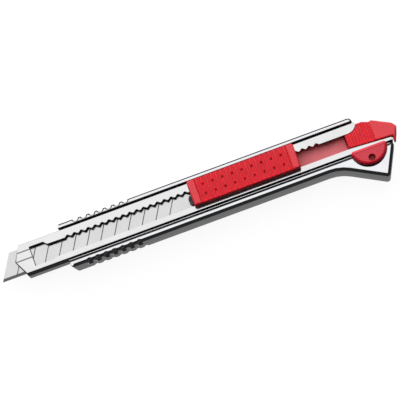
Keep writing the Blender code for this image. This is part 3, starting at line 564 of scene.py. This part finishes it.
def handle_in_shade(centre, normal):
    """True for the handle's faces in the channel, the groove, the pocket and the low notches, which get a
    matt casting darkened as painted shade.
    """
    deep = centre.z < HANDLE_HIGH - SHADE_DEPTH
    in_channel = abs(centre.y) < CHANNEL_HALF + HAIR and centre.x > FRONT_END / 2
    across = -CHANNEL_HALF - centre.y
    in_groove = GROOVE_INNER < across < GROOVE_OUTER + HAIR and normal.y < -0.3
    from_button = Vector((centre.x - BUTTON_X, centre.y - BUTTON_Y))
    in_pocket = from_button.length < BUTTON_RADIUS + POCKET_PLAY + HAIR
    in_row = FRONT_END < centre.x < NOTCHES_END and centre.z > NOTCH_FLOOR and abs(normal.z) < 0.1
    in_notch = in_row and RAIL_BOTTOM + NOTCH_SHADE < centre.y < -CHANNEL_HALF - GAP
    return (deep and (in_pocket or (in_channel and abs(normal.x) < 0.8))) or in_groove or in_notch


def handle_shell():
    top = HANDLE_HIGH
    wall = CHANNEL_HALF
    item = plate("handle_shell", handle_outline(), HANDLE_PROFILE, edge_share)
    for vertex in item.data.vertices:
        if vertex.co.x < FRONT_END:
            vertex.co.x += FRONT_LEAN * (1 - vertex.co.z / top)
    fillet = arc((wall + INNER_FILLET, top - INNER_FILLET), (INNER_FILLET, INNER_FILLET),
                 math.pi, math.pi / 2, 5)
    channel = [(-wall, HANDLE_FLOOR), (wall, HANDLE_FLOOR), (wall, CASE_HIGH - GAP)] + fillet + [
        (wall + INNER_FILLET, top + PROUD), (-wall, top + PROUD)]
    cut(item, bar("channel", channel, -FAR, FAR))
    groove = [(-wall - GROOVE_INNER, top), (-wall - GROOVE_OUTER, top - GROOVE_DEPTH),
              (-wall - GROOVE_OUTER, top + PROUD), (-wall - GROOVE_INNER, top + PROUD)]
    cut(item, bar("groove", groove, -FAR, FAR))
    flange = wall + FLANGE
    cut(item, block("flange_grooves", (FLANGE_START - GAP, FAR), (-flange, flange),
                    (HANDLE_FLOOR - FLANGE_RELIEF, CASE_LOW + SHEET + GAP)))
    finger_notches(item)
    pocket = prism("pocket", half_moon(BUTTON_RADIUS + POCKET_PLAY, 0.0, POCKET_CORNER, steps=48),
                   POCKET_FLOOR, top + PROUD)
    pocket.data.transform(Matrix.Translation((BUTTON_X, BUTTON_Y, 0)))
    cut(item, pocket)
    stem = [(BUTTON_X, STEM_Y)]
    clip_room = (CLIP_MAX.x - CLIP_MIN.x) / 2 + GAP
    cut(item, round_posts("stem_hole", stem, STEM_RADIUS + GAP, PROUD, POCKET_FLOOR + PROUD))
    cut(item, round_posts("clip_recess", stem, clip_room, -PROUD, CLIP_MAX.z + GAP))
    dress(item, "handle", "handle_metal", CHROME, "handle_body",
          shade_material=MATT_CASTING_AND_SHADE, in_painted_shade=handle_in_shade)


def finger_notches(item):
    """Blind notches with bevelled rims in each rail's side, and shallow ones in its back between them."""
    first = HANDLE_FRONT + NOTCH_START
    front_row = [first + index * NOTCH_PITCH for index in range(NOTCHES)]
    back_row = [x + NOTCH_PITCH / 2 for x in front_row]
    above = HANDLE_HIGH + PROUD
    for name, row, side, depth, low, high in (
            ("low_notches", front_row, RAIL_BOTTOM, LOW_NOTCH_DEPTH, NOTCH_FLOOR, above),
            ("top_notches", front_row, RAIL_TOP, TOP_NOTCH_DEPTH, NOTCH_FLOOR, above),
            ("low_back_notches", back_row, RAIL_BOTTOM, BACK_NOTCH_DEPTH, -PROUD, BACK_NOTCH_HEIGHT),
            ("top_back_notches", back_row, RAIL_TOP, BACK_NOTCH_DEPTH, -PROUD, BACK_NOTCH_HEIGHT)):
        centres = [(x, side + math.copysign(NOTCH_RADIUS - depth, side)) for x in row]
        cut(item, round_posts(name, centres, NOTCH_RADIUS, low, high))
        if high == above:
            rim = NOTCH_CHAMFER + HAIR
            cut(item, round_posts(name + "_rims", centres, NOTCH_RADIUS, HANDLE_HIGH - NOTCH_CHAMFER,
                                  HANDLE_HIGH + HAIR, top_radius=NOTCH_RADIUS + rim))


# ---------------------------------------------------------------- cartridge
def nose_outline(end):
    return [(CASE_MIN.x, 0), (CASE_MIN.x + NOSE_SLANT, -CASE_HALF), (end, -CASE_HALF),
            (end, CASE_HALF), (CASE_MIN.x + NOSE_SLANT, CASE_HALF)]


def case_section(inset):
    """Box section of the case, drawn in by inset: its sides lean in over their upper part."""
    half = CASE_HALF - inset
    low = CASE_LOW + inset
    high = CASE_HIGH - inset
    back = BACK_BEND - BACK_BEND_LOSS * inset
    quarter = math.pi / 2
    sides = []
    for width in (SPINE_BEND, BEND_WIDTH):
        shoulder = half - (min(width, INNER_BEND) if inset else width)
        sides.append([(half, high - BEND_HEIGHT - GAP), (half, high - BEND_HEIGHT),
                      (shoulder, high - BEND_ROUND), (shoulder - BEND_ROUND, high)])
    return (sides[0] + [(-y, z) for y, z in sides[1][::-1]]
            + arc((-half + back, low + back), (back, back), 2 * quarter, 3 * quarter, 4)
            + arc((half - back, low + back), (back, back), 3 * quarter, 4 * quarter, 4))


def window_outline(steps=12):
    """Window and slot in the case's face, with the detent waves along its upper edge."""
    tall_top = SLOT_TOP + WINDOW_RISE
    tall_bottom = SLOT_BOTTOM - WINDOW_DROP
    top = [(WINDOW_X, tall_top), (WINDOW_TALL_END, tall_top),
           (WINDOW_TALL_END + WINDOW_RISE, SLOT_TOP)]
    for step in range(WAVES * steps + 1):
        x = WAVE_START + (step / steps - 0.5) * WAVE_PITCH
        top.append((x, WAVE_LOW + WAVE_HEIGHT / 2 * (1 - math.cos(2 * math.pi * step / steps))))
    # The upper rail ends in a quarter ellipse.
    rise = CASE_HALF - WAVE_LOW - SHEET
    turns = 12
    for turn in range(turns + 1):
        angle = math.radians(90 / turns * turn)
        back = RAIL_CURVE_RUN * (1 - math.sin(angle))
        top.append((CASE_END - back, WAVE_LOW + rise * (1 - math.cos(angle))))
    top.append((FAR, WAVE_LOW + rise))
    bottom = [(FAR, arm_edge(FAR)), (ARM_END + PROUD, arm_edge(ARM_END)), (TAIL_START, SLOT_BOTTOM),
              (WINDOW_TALL_BOTTOM_END + WINDOW_DROP, SLOT_BOTTOM),
              (WINDOW_TALL_BOTTOM_END, tall_bottom), (WINDOW_X, tall_bottom)]
    return top + bottom


def case_shell():
    nose = nose_outline(CASE_END)
    outline = [nose[0], nose[1], (ARM_END, -CASE_HALF, CASE_CORNER),
               (ARM_END, arm_edge(ARM_END), ARM_CORNER), (CASE_END, arm_edge(CASE_END)),
               (CASE_END, CASE_HALF), nose[4]]
    item = bar("case_shell", case_section(0), CASE_MIN.x - PROUD, ARM_END + PROUD)
    plan = plate("case_plan", rounded(outline),
                 [(0, CASE_LOW - PROUD), (0, CASE_HIGH - NOSE_CHAMFER), (NOSE_CHAMFER, CASE_HIGH),
                  (NOSE_CHAMFER, CASE_HIGH + PROUD)],
                 lambda x, y: 1 if x < CASE_MIN.x + NOSE_SLANT + GAP and y <= 0 else 0)
    combine(item, plan, 'INTERSECT')
    flange = CASE_HALF + FLANGE
    join(item, block("case_flange", (FLANGE_START, CASE_END - PROUD), (-flange, flange),
                     (CASE_LOW, CASE_LOW + SHEET)))
    cut(item, bar("case_inside", case_section(SHEET), -FAR, FAR))
    window = window_outline()
    roof = CASE_HIGH - SHEET
    cut(item, prism("case_window", window, roof - GAP / 2, CASE_HIGH + PROUD))
    coined = [[(x, y + rise, z) for x, y in window] for rise, z in
              ((0, CASE_HIGH - SLOT_CHAMFER), (SLOT_CHAMFER + PROUD, CASE_HIGH + PROUD))]
    cut(item, lofted("case_coining", coined))
    for y in SEAMS:
        seam = [(y - SEAM_WIDTH / 2, CASE_HIGH - SEAM_DEPTH), (y + SEAM_WIDTH / 2, CASE_HIGH),
                (y + SEAM_WIDTH / 2, CASE_HIGH + PROUD), (y - SEAM_WIDTH / 2, CASE_HIGH + PROUD)]
        cut(item, bar("seam", seam, 0, WINDOW_X + PROUD / 2))
    dress(item, "cartridge", "case_steel", CASE_STEEL, "cartridge_case")


# ---------------------------------------------------------------- slider
def rib_comb(name, start, pitch, ribs, top, depth, y_range, steps=8):
    """Cutter that leaves narrow rounded ribs below z = top, from x = start."""
    section = [(start, top + PROUD)]
    for rib in range(ribs):
        for step in range(steps + 1):
            across = step / steps
            fall = depth * (1 - math.sin(math.pi * across) ** RIB_CREST)
            section.append((start + (rib + across) * pitch, top - fall))
    section.append((start + ribs * pitch, top + PROUD))
    clean = [section[0]]
    for point in section[1:]:
        if (Vector(point) - Vector(clean[-1])).length > HAIR / 2:
            clean.append(point)
    return comb(name, clean, *y_range)


def rounded_top(low, high, edge, foot=0.15 * MM, steps=6):
    """Profile of a moulded cap: a small foot rounding and a rounded upper edge."""
    profile = [(foot, low), (0, low + foot)]
    for step in range(steps + 1):
        turn = math.pi / 2 * step / steps
        profile.append((edge * (1 - math.cos(turn)), high - edge * (1 - math.sin(turn))))
    return profile


def grip_shell():
    low, high = GRIP_MIN, GRIP_MAX
    outline = rounded([(low.x, low.y, GRIP_LOW_CORNER), (high.x, low.y, GRIP_LOW_CORNER),
                       (high.x, high.y, GRIP_TOP_CORNER), (low.x, high.y, GRIP_TOP_CORNER)])
    middle = (low.y + high.y) / 2
    item = plate("grip_shell", outline, rounded_top(low.z, high.z, GRIP_EDGE),
                 lambda x, y: 1 if y < middle else GRIP_TOP_SHARE)
    span = high.x - low.x - 2 * GRIP_PLAIN_END
    pitch = span / GRIP_RIBS
    cut(item, rib_comb("grip_ribs", low.x + GRIP_PLAIN_END, pitch, GRIP_RIBS, high.z, RIB_DEPTH,
                       (low.y + RIB_START, high.y + PROUD)))
    dimples = []
    for y in DIMPLE_ROWS:
        for index in range(GRIP_DIMPLES):
            dimples.append((low.x + GRIP_PLAIN_END + (2 * index + 1.5) * pitch, y))
    cut(item, round_posts("grip_dimples", dimples, DIMPLE_FLOOR_RADIUS, high.z - DIMPLE_DEPTH,
                          high.z + PROUD, sides=12, top_radius=DIMPLE_TOP_RADIUS))
    below_ribs = high.z - RIB_DEPTH - HAIR

    # faces deep in the dimples, below the ribs' valleys, get painted shade
    def in_dimple_shade(centre, normal):
        over = low.x + PROUD < centre.x < high.x - PROUD and low.y + PROUD < centre.y < high.y - PROUD
        return over and low.z + PROUD < centre.z < below_ribs

    dress(item, "slider", "red_plastic", RED, "slider_grip", shade_material=DIMPLE_SHADE_RED, in_painted_shade=in_dimple_shade)


# ---------------------------------------------------------------- magazine
def tail_outline():
    """Pull block in the slot's open end, behind the case and round the arm's end."""
    wrap = ARM_END + 1.5 * GAP
    slot_end = CASE_END - CASE_PAST_DECK / 2
    pull = [(wrap + run, side, corner) for run, side, corner in TAIL_PULL]
    return [(TAIL_START, SLOT_BOTTOM + GAP), (wrap, arm_edge(wrap) + GAP),
            (wrap, -CASE_HALF - GAP / 2)] + pull + [
                (CASE_END + GAP, CASE_HALF - TAIL_SHOULDER), (CASE_END, SLOT_TOP + TAIL_LIP),
                (slot_end, WAVE_LOW - GAP), (TAIL_START, WAVE_LOW - GAP)]


def tail_shell():
    plug_top = CASE_HIGH - SHEET - GAP
    low = TAIL_MIN.z
    outline = [(TAIL_START, -INSIDE_HALF), (ARM_END - PROUD, -INSIDE_HALF),
               (ARM_END - PROUD, 0), (CASE_END + PROUD, 0), (CASE_END + PROUD, INSIDE_HALF),
               (TAIL_START, INSIDE_HALF)]
    item = prism("tail_shell", outline, low, plug_top)
    join(item, plate("tail_block", rounded(tail_outline()),
                     rounded_top(TRAY_MAX.z, TAIL_MAX.z, TAIL_EDGE)))
    middle = (TRAY_MIN.z + TRAY_MAX.z) / 2
    join(item, block("tail_tongue", (TAIL_MIN.x, TAIL_START + PROUD),
                     (-TONGUE_HALF_WIDTH, TONGUE_HALF_WIDTH),
                     (middle - TONGUE_HALF_HEIGHT, middle + TONGUE_HALF_HEIGHT)))
    cut(item, rib_comb("tail_ribs", TAIL_START, TAIL_RIB_PITCH, TAIL_RIBS, TAIL_MAX.z,
                       TAIL_RIB_DEPTH, (-2 * CASE_HALF, 2 * CASE_HALF)))
    cut(item, round_posts("pin_hole", [(TAIL_START - PIN_FROM_TAIL, 0)], PIN_HOLE_RADIUS, 0, plug_top))
    dress(item, "magazine", "red_plastic", RED, "tail_cap")


# ---------------------------------------------------------------- release button
def button_shell():
    cap_high = BUTTON_MAX.z
    cap_low = cap_high - BUTTON_CAP
    skirt_low = cap_low - BUTTON_SKIRT
    item = plate("button_shell", half_moon(BUTTON_RADIUS, 0.0, BUTTON_CORNER),
                 rounded_top(cap_low, cap_high, BUTTON_EDGE))
    skirt = half_moon(BUTTON_RADIUS - SKIRT_INSET, SKIRT_CHORD, SKIRT_INSET)
    join(item, prism("button_skirt", skirt, skirt_low, cap_low + BUTTON_CAP / 2))
    hook_y = -CHANNEL_HALF - BUTTON_Y
    join(item, block("button_hook", (-HOOK_HALF_WIDTH, HOOK_HALF_WIDTH), (hook_y - PROUD, hook_y),
                     (skirt_low, skirt_low + HOOK_HEIGHT)))
    stem = [(0, STEM_Y - BUTTON_Y)]
    neck_low = CLIP_MIN.z - GAP
    neck_high = CLIP_MAX.z + GAP
    join(item, round_posts("button_stem", stem, STEM_RADIUS, neck_high, skirt_low + PROUD))
    join(item, round_posts("stem_neck", stem, NECK_RADIUS, neck_low - GAP, neck_high + GAP))
    join(item, round_posts("stem_foot", stem, STEM_RADIUS, BUTTON_MIN.z, neck_low))
    cut(item, round_posts("button_dimple", [BUTTON_DIMPLE], BUTTON_DIMPLE_FLOOR_RADIUS,
                          cap_high - BUTTON_DIMPLE_DEPTH, cap_high + GAP,
                          top_radius=BUTTON_DIMPLE_TOP_RADIUS))
    item.data.transform(Matrix.Translation((BUTTON_X, BUTTON_Y, 0)))
    middle = Vector((BUTTON_X, BUTTON_Y + BUTTON_DIMPLE[1], cap_high - BUTTON_DIMPLE_MIDDLE))

    # faces deep in the dimple, below its rim, get painted shade
    def in_dimple_shade(centre, normal):
        near = (centre - middle).length < BUTTON_DIMPLE_TOP_RADIUS
        return near and centre.z < cap_high - BUTTON_DIMPLE_RIM

    dress(item, "button", "red_plastic", CRIMSON, "release_button", shade_material=DIMPLE_SHADE_RED, in_painted_shade=in_dimple_shade)


def coil_shell():
    """Coil under the button, tied to the handle."""
    wire = COIL_WIRE_RADIUS
    radius = (COIL_MAX.x - COIL_MIN.x) / 2 - wire
    middle = (COIL_MAX.x + COIL_MIN.x) / 2
    low = COIL_MIN.z + wire
    rise = COIL_MAX.z - wire - low
    steps = 96
    loops = []
    for step in range(steps + 1):
        turn = 2 * math.pi * COIL_TURNS * step / steps
        spoke = Vector((math.cos(turn), math.sin(turn), 0))
        centre = Vector((middle, STEM_Y, low + rise * step / steps)) + spoke * radius
        ring = arc((0, 0), (wire, wire), 0, 2 * math.pi, 10)[:-1]
        loops.append([tuple(centre + spoke * across + Vector((0, 0, up))) for across, up in ring])
    item = lofted("coil_shell", loops)
    dress(item, "handle", "spring_steel", SPRING_STEEL, "button_spring")
    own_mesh(item)


# ---------------------------------------------------------------- carried-over CAD nodes
def paint_nodes():
    """Gives the CAD nodes that stay their detailed materials."""
    looks = (
        (BLADE_STEEL, ("blade", "spare_blade_1", "spare_blade_2", "spare_blade_3")),
        (DARK_STEEL, ("blade_holder",)),
        (INNER_STEEL, ("nose_block", "nose_guide", "guide_shoe", "slider_rivet_front",
                       "slider_rivet_rear", "tail_pin", "blade_lifter")),
        (SPRING_STEEL, ("lock_spring", "feed_spring", "button_clip")),
        (DULL_RED_WITH_PAINTED_LIGHT, ("magazine_tray",)))
    for material, names in looks:
        for name in names:
            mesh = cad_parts[name].data
            mesh.materials.clear()
            mesh.materials.append(material)


# ---------------------------------------------------------------- studio
def sweep():
    """Pale seamless floor that curves up into a backdrop all round."""
    floor_radius = 1.6
    curve = 0.8
    wall_height = 3.0
    below = 0.05 * MM
    steps = 64
    profile = arc((floor_radius, curve), (curve, curve), -math.pi / 2, 0, 12)
    profile.append((floor_radius + curve, wall_height))
    work = bmesh.new()
    rings = []
    for radius, height in profile:
        ring = []
        for step in range(steps):
            angle = 2 * math.pi * step / steps
            place = (radius * math.cos(angle), radius * math.sin(angle), height - below)
            ring.append(work.verts.new(place))
        rings.append(ring)
    work.faces.new(rings[0])
    for lower, upper in zip(rings, rings[1:]):
        for index in range(steps):
            after = (index + 1) % steps
            work.faces.new((lower[index], lower[after], upper[after], upper[index]))
    item = mesh_object("studio_sweep", work)
    item.data.shade_smooth()
    material, shader = new_material("sweep_paper", (0.12, 0.12, 0.12), 0.0, 1.0)
    shader.inputs["Specular IOR Level"].default_value = 0
    shader.inputs["Emission Color"].default_value = (1, 1, 1, 1)
    shader.inputs["Emission Strength"].default_value = 0.93
    item.data.materials.append(material)
    item.visible_diffuse = False
    item.visible_glossy = False
    item.visible_transmission = False
    item.visible_shadow = False


def studio_light():
    """Bright tent over the spine's side, dark around the horizon, dim below."""
    world = bpy.data.worlds.new("studio")
    bpy.context.scene.world = world
    world.use_nodes = True
    tree = world.node_tree
    background = tree.nodes["Background"]
    place = tree.nodes.new("ShaderNodeTexCoord")
    towards = tree.nodes.new("ShaderNodeVectorMath")
    towards.operation = 'DOT_PRODUCT'
    tent = math.radians(50)
    towards.inputs[1].default_value = (0, math.sin(tent), math.cos(tent))
    tree.links.new(place.outputs["Generated"], towards.inputs[0])
    tent_ramp = tree.nodes.new("ShaderNodeValToRGB")
    tree.links.new(towards.outputs["Value"], tent_ramp.inputs["Fac"])
    dark = 0.035
    fill_ramp(tent_ramp, (
        (0, dark), (math.cos(math.radians(68)), dark), (math.cos(math.radians(57)), 0.17),
        (math.cos(math.radians(46)), 1.75), (1, 1.85)))
    height = tree.nodes.new("ShaderNodeSeparateXYZ")
    tree.links.new(place.outputs["Generated"], height.inputs["Vector"])
    under = tree.nodes.new("ShaderNodeMath")
    under.operation = 'MULTIPLY'
    under.inputs[1].default_value = -1
    tree.links.new(height.outputs["Z"], under.inputs[0])
    floor_ramp = tree.nodes.new("ShaderNodeValToRGB")
    tree.links.new(under.outputs["Value"], floor_ramp.inputs["Fac"])
    fill_ramp(floor_ramp, ((0, 0), (0.84, 0), (0.95, 0.19), (1, 0.22)))
    total = tree.nodes.new("ShaderNodeVectorMath")
    total.operation = 'ADD'
    tree.links.new(tent_ramp.outputs["Color"], total.inputs[0])
    tree.links.new(floor_ramp.outputs["Color"], total.inputs[1])
    tree.links.new(total.outputs["Vector"], background.inputs["Color"])


def fill_ramp(made, stops):
    elements = made.color_ramp.elements
    while len(elements) < len(stops):
        elements.new(0.5)
    for element, (position, level) in zip(elements, stops):
        element.position = position
        element.color = (level, level, level, 1)


def camera():
    """Camera at the photograph's angle: over the cutting edge's side, rolled so the tip points down."""
    tilt = math.radians(12)
    roll = math.radians(20.16)
    distance = 0.8
    target = Vector((72.6 * MM, -1.67 * MM, 9.2 * MM)) + ORIGIN
    back = Vector((0, -math.sin(tilt), math.cos(tilt)))
    level_up = Vector((0, math.cos(tilt), math.sin(tilt)))
    level_right = Vector((1, 0, 0))
    right = level_right * math.cos(roll) - level_up * math.sin(roll)
    up = level_right * math.sin(roll) + level_up * math.cos(roll)
    place = Matrix((right, up, back)).transposed().to_4x4()
    place.translation = target + back * distance
    data = bpy.data.cameras.new("photo_camera")
    data.sensor_width = 36
    data.lens = 212
    item = bpy.data.objects.new("photo_camera", data)
    item.matrix_world = place
    bpy.context.scene.collection.objects.link(item)
    bpy.context.scene.camera = item


def build():
    handle_shell()
    case_shell()
    grip_shell()
    tail_shell()
    button_shell()
    coil_shell()
    paint_nodes()
    sweep()
    studio_light()
    camera()
    bpy.context.scene.view_settings.view_transform = 'Standard'


build()
